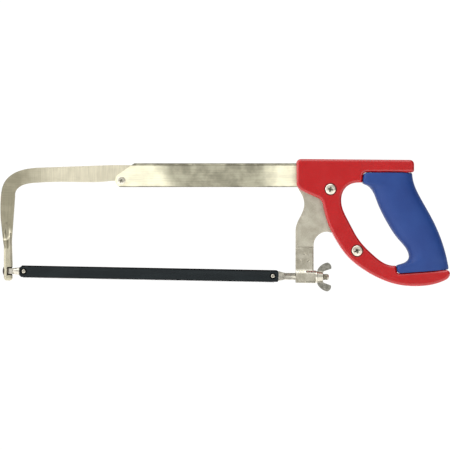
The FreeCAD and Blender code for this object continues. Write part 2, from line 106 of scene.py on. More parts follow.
def ramp(tree, value, start, end, first=0.0, last=1.0):
    """A smooth change from the first value to the last as value goes from start to end."""
    return add(tree, "ShaderNodeMapRange", {"Value": value, "From Min": start, "From Max": end,
                                            "To Min": first, "To Max": last},
               interpolation_type="SMOOTHSTEP").outputs[0]


def maths(tree, operation, first, second=0.0):
    return add(tree, "ShaderNodeMath", {0: first, 1: second}, operation=operation).outputs[0]


# How bright each part of the room is, and where one gives way to the next: as degrees round the
# camera for the patch, and as the direction's share of rightward or backward for the others.
PATCH_LIGHT, PATCH_DEGREES = 0.42, (11, 6)
RING_LIGHT, RING_EDGE = 1.05, (-0.64, -0.76)
BOARD_LIGHT, BOARD_REAR_EDGE = 3.30, (0.28, 0.10)
RIGHT_LIGHT, RIGHT_EDGE = 0.12, (0.10, 0.55)
GAP_LIGHT = 0.22
BACK_LIGHT, BACK_EDGE = 1.10, (0.34, 0.70)
WALL_LIGHT = 1.05
WHITE = (1, 1, 1, 1)

world = bpy.data.worlds.new("studio")
bpy.context.scene.world = world
world.use_nodes = True
sky = world.node_tree
sky.nodes.clear()
direction = add(sky, "ShaderNodeTexCoord").outputs["Generated"]
axes = add(sky, "ShaderNodeSeparateXYZ", {0: direction})
rightward, backward = axes.outputs[0], axes.outputs[1]
boards = ramp(sky, rightward, *RIGHT_EDGE, BOARD_LIGHT - GAP_LIGHT, RIGHT_LIGHT - GAP_LIGHT)
level = maths(sky, "MULTIPLY", boards, ramp(sky, backward, *BOARD_REAR_EDGE))
level = maths(sky, "ADD", level, GAP_LIGHT)
ring_share = ramp(sky, backward, *RING_EDGE)
level = add(sky, "ShaderNodeMix", {0: ring_share, 2: level, 3: RING_LIGHT}).outputs[0]
patch_edge = [-math.cos(math.radians(degrees)) for degrees in PATCH_DEGREES]
patch = ramp(sky, backward, *patch_edge, 0.0, PATCH_LIGHT - RING_LIGHT)
behind = ramp(sky, backward, *BACK_EDGE, 0.0, BACK_LIGHT - GAP_LIGHT)
level = maths(sky, "ADD", maths(sky, "ADD", level, patch), behind)
room = add(sky, "ShaderNodeBackground", {"Color": WHITE, "Strength": level})
white_wall = add(sky, "ShaderNodeBackground", {"Color": WHITE, "Strength": WALL_LIGHT})
seen = add(sky, "ShaderNodeLightPath").outputs["Is Camera Ray"]
both = add(sky, "ShaderNodeMixShader", {0: seen, 1: room.outputs[0], 2: white_wall.outputs[0]})
add(sky, "ShaderNodeOutputWorld", {"Surface": both.outputs[0]})

FLOOR_DROP = 0.75
FLOOR_HALF = 5.6
FLOOR_GLOW = 0.6
floor_mesh = bpy.data.meshes.new("floor")
floor_mesh.from_pydata([(x * FLOOR_HALF, y * FLOOR_HALF, -FLOOR_DROP)
                        for x, y in ((-1, -1), (1, -1), (1, 1), (-1, 1))], [], [(0, 1, 2, 3)])
floor_paint = bpy.data.materials.new("white_floor_paint")
floor_paint.use_nodes = True
paint_tree = floor_paint.node_tree
paint = paint_tree.nodes["Principled BSDF"].inputs
paint["Base Color"].default_value = srgb("F4F3F0")
paint["Roughness"].default_value = 0.8
paint["Emission Color"].default_value = WHITE
seen = add(paint_tree, "ShaderNodeLightPath").outputs["Is Camera Ray"]
glow = maths(paint_tree, "MULTIPLY", maths(paint_tree, "SUBTRACT", 1.0, seen), FLOOR_GLOW)
paint_tree.links.new(glow, paint["Emission Strength"])
floor_mesh.materials.append(floor_paint)
floor = bpy.data.objects.new("floor", floor_mesh)
bpy.context.scene.collection.objects.link(floor)


# ---- Bracket plate ----------------------------------------------------------------------------
# The flat steel bracket between the channel and the tension sleeve. It is stamped from strip,
# tumbled and plated with dull nickel, so its edges are softly broken and its face is mottled.

def new_material(name):
    material = bpy.data.materials.new(name)
    material.use_nodes = True
    tree = material.node_tree
    return material, tree, tree.nodes["Principled BSDF"]


def noise(tree, place, size_mm, detail=2.0, stretch=(1, 1, 1), turn=0.0):
    """Noise with marks about size_mm across, stretched along an axis by a number over one."""
    scale = [1 / (s * size_mm * MM) for s in stretch]
    mapped = add(tree, "ShaderNodeMapping", {"Vector": place, "Rotation": (0, turn, 0), "Scale": scale})
    return add(tree, "ShaderNodeTexNoise", {"Vector": mapped.outputs[0], "Scale": 1.0,
                                            "Detail": detail}).outputs[0]


def mix_colour(tree, share, first, second, blend="MIX"):
    mixed = add(tree, "ShaderNodeMix", {0: share, 6: first, 7: second}, data_type="RGBA", blend_type=blend)
    return mixed.outputs[2]


def bump(tree, shader, height, depth_mm, strength=1.0):
    """Relief of a depth in millimetres on the shader's normal."""
    bumped = add(tree, "ShaderNodeBump", {"Height": height, "Distance": depth_mm * MM, "Strength": strength})
    tree.links.new(bumped.outputs[0], shader.inputs["Normal"])


def nickel(name, light, dark, rough, grain=(1, 1, 1), grain_mm=1.2, mottle_mm=9.0, relief_mm=0.02,
           tone=None, darkening=0.88, upright=None):
    """Nickel over steel: soft mottling in the plate, fine working marks and an uneven gloss.

    The marks of belt and tumbler are really a few hundredths of a millimetre apart, and are drawn
    0.5 to 1.2 mm apart so that they show. tone sets how bright each place is between dark and
    light, and upright where the grain runs up and down.
    """
    material, tree, shader = new_material(name)
    place = add(tree, "ShaderNodeTexCoord").outputs["Object"]
    mottle = noise(tree, place, mottle_mm, detail=4.0)
    marks = noise(tree, place, grain_mm, detail=3.0, stretch=grain)
    if upright is not None:
        standing = noise(tree, place, grain_mm, detail=3.0, stretch=grain[::-1])
        marks = add(tree, "ShaderNodeMix", {0: upright(tree, place), 2: marks, 3: standing}).outputs[0]
    share = ramp(tree, mottle, 0.30, 0.70)
    if tone is not None:
        share = maths(tree, "ADD", tone(tree, place), ramp(tree, mottle, 0.30, 0.70, -0.10, 0.10))
    colour = mix_colour(tree, share, srgb(dark), srgb(light))
    worn = ramp(tree, marks, 0.25, 0.75, darkening, 1.0)
    grey = add(tree, "ShaderNodeCombineColor", {0: worn, 1: worn, 2: worn}).outputs[0]
    tree.links.new(mix_colour(tree, 1.0, colour, grey, "MULTIPLY"), shader.inputs["Base Color"])
    shader.inputs["Metallic"].default_value = 1.0
    tree.links.new(ramp(tree, marks, 0.2, 0.8, rough + 0.06, rough - 0.05), shader.inputs["Roughness"])
    speckle = noise(tree, place, 0.7)
    bump(tree, shader, maths(tree, "ADD", marks, maths(tree, "MULTIPLY", speckle, 0.5)), relief_mm)
    return material


def show(name, mesh, material, body, replaced=()):
    """Put a finished mesh in the scene, riding on its body in place of the CAD nodes named."""
    if not mesh.materials:
        mesh.materials.append(material)
    mesh.materials[0] = material
    piece = bpy.data.objects.new(name, mesh)
    bpy.context.scene.collection.objects.link(piece)
    if replaced:
        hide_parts(*replaced)
    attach(piece, body)
    return piece


def even_normals(piece):
    """Large faces keep their own direction, and the light turns only round the broken edges."""
    normals = piece.modifiers.new("even_normals", "WEIGHTED_NORMAL")
    normals.mode = "FACE_AREA_WITH_ANGLE"
    normals.keep_sharp = True


def merged_copy(node):
    """A node's triangles joined into whole faces, as a shape that can be worked on."""
    shape = bmesh.new()
    shape.from_mesh(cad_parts[node].data)
    bmesh.ops.remove_doubles(shape, verts=shape.verts, dist=0.002 * MM)
    bmesh.ops.dissolve_limit(shape, angle_limit=math.radians(1.5), verts=shape.verts, edges=shape.edges)
    return shape


def break_edges(shape, radius_mm, over_degrees=32, where=None):
    """Round the edges sharper than an angle, as tumbling or a mould's corner does."""
    sharp = [e for e in shape.edges if len(e.link_faces) == 2
             and e.calc_face_angle(0) > math.radians(over_degrees) and (where is None or where(e))]
    bmesh.ops.bevel(shape, geom=sharp, offset=radius_mm * MM, offset_type="OFFSET", segments=2,
                    profile=0.5, affect="EDGES", clamp_overlap=True)


def to_mesh(shape, name):
    """The shape as a smooth-shaded mesh."""
    for face in shape.faces:
        face.smooth = True
    mesh = bpy.data.meshes.new(name)
    shape.to_mesh(mesh)
    shape.free()
    return mesh


def finished(node, name, material, body, radius_mm=0.3, over_degrees=32):
    """A CAD node's own shape with its edges broken."""
    shape = merged_copy(node)
    break_edges(shape, radius_mm, over_degrees)
    piece = show(name, to_mesh(shape, name), material, body, [node])
    even_normals(piece)
    return piece


# Tumbled plate has no streaks: a soft even grey with a faint warm mottle.
dull_nickel = nickel("dull_nickel_on_stamped_steel", "B4B0A1", "9F9A8B", 0.47)
finished("tang_plate", "bracket_plate", dull_nickel, "frame", 0.35)


# ---- Back channel -----------------------------------------------------------------------------
# The frame's back: sheet steel folded into an upside-down U, cut on a slant at the front. Its satin nickel
# has painted reflections that are bright at the front and rear ends, and painted shade next to the handle and
# along the top fold and the bottom lip.

def painted_channel_light(tree, place):
    """Painted light: bright reflections at the front and the rear, painted shade next to the handle, and
    painted shade round the folds.
    """
    HIGHLIGHT_SLANT = 0.55
    FRONT_HIGHLIGHT = -0.231, -0.206
    REAR_HIGHLIGHT = -0.158, -0.128
    HANDLE_SHADE = -0.122, -0.114
    TOP_FOLD, BOTTOM_LIP = (0.0562, 0.0568), (0.0362, 0.0356)
    FLAT_TOP = 0.0008, 0.0020
    FOLD_SHADE = 0.10
    along, sideways, up = add(tree, "ShaderNodeSeparateXYZ", {0: place}).outputs
    slanted = maths(tree, "ADD", along, maths(tree, "MULTIPLY", up, HIGHLIGHT_SLANT))
    # Painted reflections, bright towards the front and the rear ends, and painted shade next to the handle.
    front = ramp(tree, slanted, *FRONT_HIGHLIGHT, 0.96, 0.29)
    rear = ramp(tree, along, *REAR_HIGHLIGHT, 0.0, 0.68)
    at_handle = ramp(tree, along, *HANDLE_SHADE, 0.0, -0.25)
    highlights = maths(tree, "ADD", maths(tree, "ADD", front, rear), at_handle)
    # Painted shade along the top fold and the bottom lip, but not on the flat top.
    folds = maths(tree, "ADD", ramp(tree, up, *TOP_FOLD), ramp(tree, up, *BOTTOM_LIP))
    off_the_top = ramp(tree, maths(tree, "ABSOLUTE", sideways), *FLAT_TOP)
    dull = maths(tree, "MULTIPLY", folds, off_the_top)
    return add(tree, "ShaderNodeMix", {0: dull, 2: highlights, 3: FOLD_SHADE}).outputs[0]


# Belt polishing streaks the channel lengthwise. Its bright ends and dark folds are painted light and shade.
satin_channel = nickel("satin_nickel_with_painted_light_on_folded_sheet", "F3EFD4", "5F5C4E", 0.46, grain=(24, 1, 1),
                       grain_mm=0.9, tone=painted_channel_light, darkening=0.84)
LIP_ROUND_MM = 0.9
NEAR_MM = 0.05
shape = merged_copy("back_channel")
lowest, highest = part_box("back_channel")
bottom_corner = [e for e in shape.edges if max(v.co.z for v in e.verts) < lowest.z + NEAR_MM * MM
                 and min(abs(v.co.y) for v in e.verts) > highest.y - NEAR_MM * MM]
bmesh.ops.bevel(shape, geom=bottom_corner, offset=LIP_ROUND_MM * MM, offset_type="OFFSET", segments=4,
                profile=0.5, affect="EDGES", clamp_overlap=True)
break_edges(shape, 0.25)
channel = show("folded_channel", to_mesh(shape, "folded_channel"), satin_channel, "frame",
               ["back_channel"])
even_normals(channel)


# ---- Pins and rivets of the frame -------------------------------------------------------------
# A pin with two domed, cross-slotted heads goes through the channel's front end, and two plain
# rivets inside the handle hold the channel to the bracket. All are turned and bright nickelled.

def node_tree(name, sizes):
    """A Geometry Nodes tree with a named input for each size."""
    tree = bpy.data.node_groups.new(name, "GeometryNodeTree")
    tree.interface.new_socket("Geometry", in_out="INPUT", socket_type="NodeSocketGeometry")
    for size, value in sizes.items():
        kind = "NodeSocketInt" if isinstance(value, int) else "NodeSocketFloat"
        tree.interface.new_socket(size, in_out="INPUT", socket_type=kind).default_value = value
    tree.interface.new_socket("Geometry", in_out="OUTPUT", socket_type="NodeSocketGeometry")
    return tree, add(tree, "NodeGroupInput").outputs


def end_tree(tree, geometry, material, where=True):
    """Make the instances real and give them their material."""
    realized = add(tree, "GeometryNodeRealizeInstances", {0: geometry})
    painted = add(tree, "GeometryNodeSetMaterial", {"Geometry": realized.outputs[0], "Material": material,
                                                    "Selection": where})
    add(tree, "NodeGroupOutput", {0: painted.outputs[0]})


def grown(tree, seed, **sizes):
    """The plain mesh that a tree makes from a seed mesh with these sizes."""
    grower = bpy.data.objects.new("grower", seed)
    modifier = grower.modifiers.new("grow", "NODES")
    modifier.node_group = tree
    for item in tree.interface.items_tree:
        if item.in_out == "INPUT" and item.name in sizes:
            modifier[item.identifier] = sizes[item.name]
    bpy.context.scene.collection.objects.link(grower)
    mesh = bpy.data.meshes.new_from_object(grower.evaluated_get(bpy.context.evaluated_depsgraph_get()))
    grower.modifiers.clear()
    bpy.data.objects.remove(grower)
    return mesh


def head_tree(material, inside):
    """A low dome on a cylinder with a tapered cross recess, set at each of the seed's points."""
    WALL_STEEPNESS = 12.0
    TAPER_TOP, TAPER_BOTTOM = 1.30, 0.30
    tree, sizes = node_tree("cross_head", {"Radius": 5.5 * MM, "Rise": 1.2 * MM, "Depth": 2.0 * MM,
                                           "Wing Length": 6.4 * MM, "Wing Width": 1.5 * MM,
                                           "Recess Depth": 1.7 * MM, "Turn": 0.0, "Facing": 0.0})
    ball = add(tree, "GeometryNodeMeshUVSphere", {"Segments": 40, "Rings": 24, "Radius": sizes["Radius"]})
    place = add(tree, "ShaderNodeSeparateXYZ", {0: add(tree, "GeometryNodeInputPosition").outputs[0]})
    height = place.outputs[2]
    share = maths(tree, "DIVIDE", sizes["Rise"], sizes["Radius"])
    dome = maths(tree, "MULTIPLY", maths(tree, "MAXIMUM", height, 0.0), share)
    sunk = maths(tree, "MULTIPLY", maths(tree, "MINIMUM", height, 0.0), WALL_STEEPNESS)
    wall = maths(tree, "MAXIMUM", sunk, maths(tree, "MULTIPLY", sizes["Depth"], -1.0))
    shaped = add(tree, "ShaderNodeCombineXYZ", {0: place.outputs[0], 1: place.outputs[1],
                                                2: maths(tree, "ADD", dome, wall)})
    head = add(tree, "GeometryNodeSetPosition", {"Geometry": ball.outputs[0], "Position": shaped.outputs[0]})
    head = add(tree, "GeometryNodeStoreNamedAttribute", {"Geometry": head.outputs[0], "Name": "outside",
                                                         "Value": True}, data_type="BOOLEAN", domain="FACE")
    size = add(tree, "ShaderNodeCombineXYZ", {0: sizes["Wing Length"], 1: sizes["Wing Width"],
                                              2: maths(tree, "MULTIPLY", sizes["Recess Depth"], 2.0)})
    wing = add(tree, "GeometryNodeMeshCube", {"Size": size.outputs[0]})
    corner = add(tree, "ShaderNodeSeparateXYZ", {0: add(tree, "GeometryNodeInputPosition").outputs[0]})
    taper = ramp(tree, corner.outputs[2], -1 * MM, 1 * MM, TAPER_BOTTOM, TAPER_TOP)
    narrowed = add(tree, "ShaderNodeCombineXYZ", {0: maths(tree, "MULTIPLY", corner.outputs[0], taper),
                                                  1: maths(tree, "MULTIPLY", corner.outputs[1], taper),
                                                  2: maths(tree, "ADD", corner.outputs[2], sizes["Rise"])})
    wing = add(tree, "GeometryNodeSetPosition", {"Geometry": wing.outputs[0],
                                                 "Position": narrowed.outputs[0]})
    crossed = add(tree, "GeometryNodeTransform", {"Geometry": wing.outputs[0],
                                                  "Rotation": (0, 0, math.radians(90))})
    recessed = add(tree, "GeometryNodeMeshBoolean", {"Mesh 1": head.outputs[0]}, operation="DIFFERENCE")
    for cutter in (wing, crossed):
        tree.links.new(cutter.outputs[0], recessed.inputs["Mesh 2"])
    points = add(tree, "GeometryNodeMeshToPoints", {0: sizes["Geometry"]})
    set_way = add(tree, "ShaderNodeCombineXYZ", {0: math.radians(90), 1: sizes["Turn"], 2: sizes["Facing"]})
    dark = add(tree, "GeometryNodeSetMaterial", {"Geometry": recessed.outputs[0], "Material": inside})
    heads = add(tree, "GeometryNodeInstanceOnPoints", {"Points": points.outputs[0],
                                                       "Instance": dark.outputs[0],
                                                       "Rotation": set_way.outputs[0]})
    outside = add(tree, "GeometryNodeInputNamedAttribute", {"Name": "outside"}, data_type="BOOLEAN")
    end_tree(tree, heads.outputs[0], material, outside.outputs[0])
    return tree


def cut_off(shape, at, outward):
    """Cut away what lies beyond a plane and close the end."""
    bmesh.ops.bisect_plane(shape, geom=shape.verts[:] + shape.edges[:] + shape.faces[:],
                           plane_co=at, plane_no=outward, clear_outer=True)
    bmesh.ops.edgeloop_fill(shape, edges=[e for e in shape.edges if e.is_boundary])


def headed(node, name, sides, turn, radius_mm, rise_mm, seat_mm):
    """A pin or screw: its CAD shaft with a cross head on each side named, seat_mm thick in all."""
    lowest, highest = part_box(node)
    centre = (lowest + highest) / 2
    shape = merged_copy(node)
    for side in sides:
        end = lowest.y if side < 0 else highest.y
        cut_off(shape, (0, end - side * seat_mm * MM, 0), (0, side, 0))
    for side in sides:
        end = lowest.y if side < 0 else highest.y
        seed = bpy.data.meshes.new("head_place")
        seed.from_pydata([(centre.x, end - side * rise_mm * MM, centre.z)], [], [])
        heads = grown(cross_head, seed, Radius=radius_mm * MM, Rise=rise_mm * MM,
                      Depth=(seat_mm - rise_mm) * MM, Turn=math.radians(turn),
                      Facing=math.radians(0 if side < 0 else 180),
                      **{"Wing Length": radius_mm * WING_LENGTH * MM,
                         "Wing Width": radius_mm * WING_WIDTH * MM,
                         "Recess Depth": min(seat_mm, DEEPEST_RECESS) * RECESS_SHARE * MM})
        # The tree's materials come in their own order, and the piece's slots are bright, then dark.
        order = [heads.materials.find(m.name) for m in (bright_nickel, recess_shade_nickel)]
        for face in heads.polygons:
            face.material_index = order.index(face.material_index)
        shape.from_mesh(heads)
    mesh = to_mesh(shape, name)
    mesh.set_sharp_from_angle(angle=math.radians(35))
    screw = show(name, mesh, bright_nickel, "frame", [node])
    mesh.materials.append(recess_shade_nickel)
    even_normals(screw)
    return screw


# Shares of a head's radius, and of its thickness in millimetres up to the deepest recess.
WING_LENGTH, WING_WIDTH = 1.42, 0.46
DEEPEST_RECESS, RECESS_SHARE = 1.9, 0.85
# Turned and plated heads give small sharp glints. The cross recess in them has painted shade, a darker grey.
bright_nickel = nickel("bright_nickel_on_turned_steel", "D9D4C6", "B9B4A5", 0.20, grain_mm=0.6,
                       mottle_mm=3.0, relief_mm=0.01)
recess_shade_nickel = nickel("nickel_with_painted_shade_in_recess", "8A877B", "66635A", 0.42, grain_mm=0.5,
                       mottle_mm=1.5, relief_mm=0.02)
cross_head = head_tree(bright_nickel, recess_shade_nickel)
headed("channel_pin", "cross_headed_channel_pin", (-1, 1), 25, 4.1, 0.7, 1.1)
finished("tang_rivets", "hidden_tang_rivets", bright_nickel, "frame", 0.15)


# ---- Tension sleeve ---------------------------------------------------------------------------
# A strap folded round the tension stud into a squared tube and spot-welded up both sides of the bracket's
# stem, whose weld dimples show. It has dull nickel with a painted highlight along its upper bend.

def painted_bend_highlight(tree, place):
    """A painted highlight along the strap's upper bend, which slopes as the stud does."""
    SLOPE, BEND_HEIGHT, HIGHLIGHT_WIDTH = 0.0188, -0.0515, 0.0030
    along, _, up = add(tree, "ShaderNodeSeparateXYZ", {0: place}).outputs
    level = maths(tree, "ADD", up, maths(tree, "MULTIPLY", along, SLOPE))
    off = maths(tree, "ABSOLUTE", maths(tree, "SUBTRACT", level, BEND_HEIGHT))
    return ramp(tree, off, HIGHLIGHT_WIDTH, 0.0, 0.10, 0.80)


nickel_with_bend_highlight = nickel("dull_nickel_with_painted_highlight_at_the_bend", "FBF8EA", "8D8879", 0.50, tone=painted_bend_highlight)
SHORTEST_MM = 1.2
shape = merged_copy("stud_sleeve")
break_edges(shape, 0.2, 45, where=lambda edge: edge.calc_length() > SHORTEST_MM * MM)
sleeve = show("folded_sleeve", to_mesh(shape, "folded_sleeve"), nickel_with_bend_highlight, "frame",
              ["stud_sleeve"])
even_normals(sleeve)


# ---- Handle shells ----------------------------------------------------------------------------
# Two halves of gloss red ABS, injection moulded and screwed together over the steel. The mould's
# polish gives a clean gloss with the faintest orange peel, and their joint runs round the edge.

def moulded_red():
    material, tree, shader = new_material("gloss_red_moulded_abs")
    place = add(tree, "ShaderNodeTexCoord").outputs["Object"]
    drift = noise(tree, place, 35.0)
    tree.links.new(mix_colour(tree, ramp(tree, drift, 0.3, 0.7), srgb("930306"), srgb("990609")),
                   shader.inputs["Base Color"])
    handling = noise(tree, place, 9.0, detail=3.0)
    tree.links.new(ramp(tree, handling, 0.35, 0.75, 0.18, 0.22), shader.inputs["Roughness"])
    shader.inputs["IOR"].default_value = 1.53
    bump(tree, shader, noise(tree, place, 3.0, detail=1.0), 0.01, 0.3)
    return material


red_abs = moulded_red()
finished("handle_near_shell", "near_red_shell", red_abs, "frame", 0.3, 40)
finished("handle_far_shell", "far_red_shell", red_abs, "frame", 0.3, 40)


# ---- Grip pads --------------------------------------------------------------------------------
# Soft blue rubber moulded over the handle's core: fullest in the palm, almost flush with the red
# bars at both ends, matt, with a very fine grain and a parting line where the halves meet.

def moulded_rubber():
    material, tree, shader = new_material("matt_blue_moulded_rubber")
    place = add(tree, "ShaderNodeTexCoord").outputs["Object"]
    drift = noise(tree, place, 22.0, detail=3.0)
    tree.links.new(mix_colour(tree, ramp(tree, drift, 0.3, 0.7), srgb("0F2E69"), srgb("14346F")),
                   shader.inputs["Base Color"])
    # The spark-eroded grain is about 0.1 mm across, and is drawn eight times as coarse to show.
    grain = noise(tree, place, 0.8)
    tree.links.new(ramp(tree, grain, 0.3, 0.7, 0.60, 0.50), shader.inputs["Roughness"])
    shader.inputs["IOR"].default_value = 1.5
    shader.inputs["Specular IOR Level"].default_value = 0.3
    bump(tree, shader, grain, 0.04, 0.5)
    return material


# In millimetres: how far the pad stands from the joint at its ends and in the palm, how far the
# red bars hold its front edge square at the top and the bottom, and the round of its two ends.
END_FULLNESS, PALM_FULLNESS = 11.6, 14.0
HELD_AT_TOP, HELD_AT_BOTTOM = 8.6, 6.5
END_ROUND = 0.35
# The oval's power where the rubber is free, and where the bars hold it square.
ROUNDNESS, SQUARENESS = 2.7, 14.0
SWELL = 0.7
HELD_FULLY = 1.6
ROW_STEP = 2.0
COLUMNS = 28
END_ROWS = (0.06, 0.25, 0.55, 0.9, 1.5, 2.6)
LAST_SLOPE = 0.068


def pad_rows(node):
    """Across the grip from top to bottom: each row's two ends, and its depth from either end."""
    shape = merged_copy(node)
    lowest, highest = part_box(node)
    toe = min(shape.verts, key=lambda v: v.co.z).co
    top, bottom = highest.z, toe.z
    pivot = toe.x
    long = (top - bottom) / MM
    depths = list(END_ROWS)
    while depths[-1] + ROW_STEP < long - END_ROWS[-1]:
        depths.append(depths[-1] + ROW_STEP)
    depths += [long - d for d in reversed(END_ROWS)]
    rows = []
    for depth in depths:
        slope = LAST_SLOPE * depth / long
        start = (pivot, 0, top - depth * MM)
        cut = bmesh.ops.bisect_plane(shape, geom=shape.verts[:] + shape.edges[:] + shape.faces[:],
                                     plane_co=start, plane_no=(-slope, 0, 1))["geom_cut"]
        across = [v.co.copy() for v in cut if isinstance(v, bmesh.types.BMVert)]
        rows.append((min(across, key=lambda p: p.x), max(across, key=lambda p: p.x), depth, long - depth))
    shape.free()
    return rows


def grip_pad(node, name, side):
    """A crowned half shell: each row across the grip is a flattened oval that ends on the joint."""
    rows = pad_rows(node)
    shape = bmesh.new()
    grid = []
    for front, rear, from_top, from_bottom in rows:
        along = from_top / (from_top + from_bottom)
        full = END_FULLNESS + (PALM_FULLNESS - END_FULLNESS) * math.sin(math.pi * along) ** SWELL
        near_end = max(0.0, 1 - min(from_top, from_bottom) / END_ROUND)
        full -= END_ROUND * (1 - math.sqrt(1 - near_end ** 2))
        line = []
        held = (max(0.0, HELD_FULLY - from_top / HELD_AT_TOP)
                + max(0.0, HELD_FULLY - from_bottom / HELD_AT_BOTTOM))
        power = ROUNDNESS + (SQUARENESS - ROUNDNESS) * min(1.0, held)
        for column in range(COLUMNS + 1):
            across = (1 - math.cos(math.pi * column / COLUMNS)) / 2
            roundness = power if across < 0.5 else ROUNDNESS
            crown = max(0.0, 1 - abs(2 * across - 1) ** roundness) ** (1 / roundness)
            point = front.lerp(rear, across)
            line.append(shape.verts.new((point.x, side * full * crown * MM, point.z)))
        grid.append(line)
    back = [[shape.verts.new((v.co.x, 0, v.co.z)) for v in line[1:-1]] for line in (grid[0], grid[-1])]
    for upper, lower in zip(grid, grid[1:]):
        for i in range(COLUMNS):
            shape.faces.new((upper[i], upper[i + 1], lower[i + 1], lower[i]))
    for line, flat in ((grid[0], back[0]), (grid[-1], back[1])):
        flat = [line[0]] + flat + [line[-1]]
        for i in range(COLUMNS):
            face = [line[i], line[i + 1], flat[i + 1], flat[i]]
            shape.faces.new(list(dict.fromkeys(face)))
    outline = ([line[0] for line in grid] + back[1] + [line[-1] for line in reversed(grid)]
               + list(reversed(back[0])))
    shape.faces.new(outline)
    bmesh.ops.recalc_face_normals(shape, faces=shape.faces)
    mesh = to_mesh(shape, name)
    mesh.set_sharp_from_angle(angle=math.radians(50))
    return show(name, mesh, blue_rubber, "frame", [node])


blue_rubber = moulded_rubber()
grip_pad("near_grip_pad", "near_rubber_pad", -1)
grip_pad("far_grip_pad", "far_rubber_pad", 1)


# ---- Handle screws ----------------------------------------------------------------------------
# Two cross-recess screws with low domed heads in round counterbores, and the sleeve nuts with the
# same heads that take them from the far side.

for node, name, side, turn in (("upper_handle_screw", "upper_cross_screw", -1, 12),
                               ("lower_handle_screw", "lower_cross_screw", -1, -20),
                               ("upper_barrel_nut", "upper_sleeve_nut", 1, 35),
                               ("lower_barrel_nut", "lower_sleeve_nut", 1, 5)):
    headed(node, name, (side,), turn, 5.5, 1.3, 2.5)


# ---- Front arm --------------------------------------------------------------------------------
# A flat steel bar bent into an L, nickel plated. Its lower leg is pressed narrower and thicker, its tail runs
# inside the channel, and the notch that holds the stud is brown-black.

def painted_arm_light(tree, place):
    """Painted light: bright near the channel, darker round the bend and lighter down the leg, with painted
    highlights where the leg is pressed and painted shade for its creases.
    """
    BAR_FADE = -0.402, -0.350
    LEG_FADE = -0.018, -0.030
    HIGHLIGHT_CENTRE = -0.4066, 0, -0.0140
    RIM_INSIDE, RIM_OUTSIDE, RIM_TOP = (0.0022, 0.0036), (0.0052, 0.0040), (-0.0125, -0.0155)
    SHOULDER, SHOULDER_TOP, SHOULDER_END = (-0.4040, -0.4015), (-0.004, -0.010), (-0.034, -0.024)
    SHADE_LINES, GROOVE_EDGE = (-0.4067, -0.4041), (0.0009, 0.0004)
    GROOVE_TOP, GROOVE_END = (-0.0175, -0.0185), (-0.0270, -0.0258)
    GROOVE_SHADE_AMOUNT = 0.55
    along, _, up = add(tree, "ShaderNodeSeparateXYZ", {0: place}).outputs
    bar = ramp(tree, along, *BAR_FADE, 0.0, 0.93)
    leg = ramp(tree, up, *LEG_FADE, 0.0, 0.47)
    flat = add(tree, "ShaderNodeVectorMath", {0: place, 1: (1, 0, 1)}, operation="MULTIPLY").outputs[0]
    # Painted highlights: a crescent round the pressed end, and a strip down the leg's right side.
    reach = add(tree, "ShaderNodeVectorMath", {0: flat, 1: HIGHLIGHT_CENTRE}, operation="DISTANCE").outputs["Value"]
    rim = maths(tree, "MULTIPLY", ramp(tree, reach, *RIM_INSIDE), ramp(tree, reach, *RIM_OUTSIDE))
    rim = maths(tree, "MULTIPLY", rim, ramp(tree, up, *RIM_TOP, 0.0, 0.9))
    strip = maths(tree, "MULTIPLY", ramp(tree, up, *SHOULDER_TOP), ramp(tree, up, *SHOULDER_END))
    shoulder_highlight = maths(tree, "MULTIPLY", ramp(tree, along, *SHOULDER, 0.0, 0.45), strip)
    total = maths(tree, "ADD", maths(tree, "ADD", bar, leg), maths(tree, "ADD", rim, shoulder_highlight))
    # Painted shade: two dark lines down the leg stand in for its creases.
    band = maths(tree, "MULTIPLY", ramp(tree, up, *GROOVE_TOP), ramp(tree, up, *GROOVE_END))
    for centre in SHADE_LINES:
        off = maths(tree, "ABSOLUTE", maths(tree, "SUBTRACT", along, centre))
        groove_shade = maths(tree, "MULTIPLY", ramp(tree, off, *GROOVE_EDGE), band)
        total = maths(tree, "SUBTRACT", total, maths(tree, "MULTIPLY", groove_shade, GROOVE_SHADE_AMOUNT))
    return total


def on_the_leg(tree, place):
    """Nought along the top bar and one on the leg, through the bend."""
    THROUGH_THE_BEND = 0.440, 0.415
    along, _, up = add(tree, "ShaderNodeSeparateXYZ", {0: place}).outputs
    return ramp(tree, maths(tree, "SUBTRACT", up, along), *THROUGH_THE_BEND)


# The same belt polish as on the channel, streaked along the bar and then down the leg. Its light and shade
# are painted in.
satin_arm = nickel("satin_nickel_with_painted_light_on_bent_bar", "CFC9B3", "8F8A76", 0.46, grain=(24, 1, 1), grain_mm=0.9,
                   tone=painted_arm_light, darkening=0.84, upright=on_the_leg)


def dark_notch_steel():
    """Brown-black and dull on the steel inside the notch."""
    material, tree, shader = new_material("dark_brown_steel_in_the_notch")
    place = add(tree, "ShaderNodeTexCoord").outputs["Object"]
    stain = noise(tree, place, 1.5, detail=3.0)
    tree.links.new(mix_colour(tree, ramp(tree, stain, 0.3, 0.7), srgb("2A1E12"), srgb("5A4A36")),
                   shader.inputs["Base Color"])
    shader.inputs["Roughness"].default_value = 0.6
    bump(tree, shader, stain, 0.05)
    return material


front_pin = sum(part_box("front_blade_pin"), Vector()) / 2
rear_pin = sum(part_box("rear_blade_pin"), Vector()) / 2
NOTCH_REACH = 4.3
NOTCH_START, NOTCH_END = -19.4, -10.0
LEG_SKIN = 4.2
arm = finished("front_arm", "bent_front_arm", satin_arm, "arm", 0.45)
arm.data.materials.append(dark_notch_steel())
for face in arm.data.polygons:
    from_pin = (face.center - front_pin) / MM
    in_reach = NOTCH_START < from_pin.x < NOTCH_END and abs(from_pin.z) < NOTCH_REACH
    faces_inward = face.center.y * face.normal.y < 0 or abs(face.normal.y) < 0.5
    if in_reach and (faces_inward or abs(face.center.y) < LEG_SKIN * MM):
        face.material_index = 1


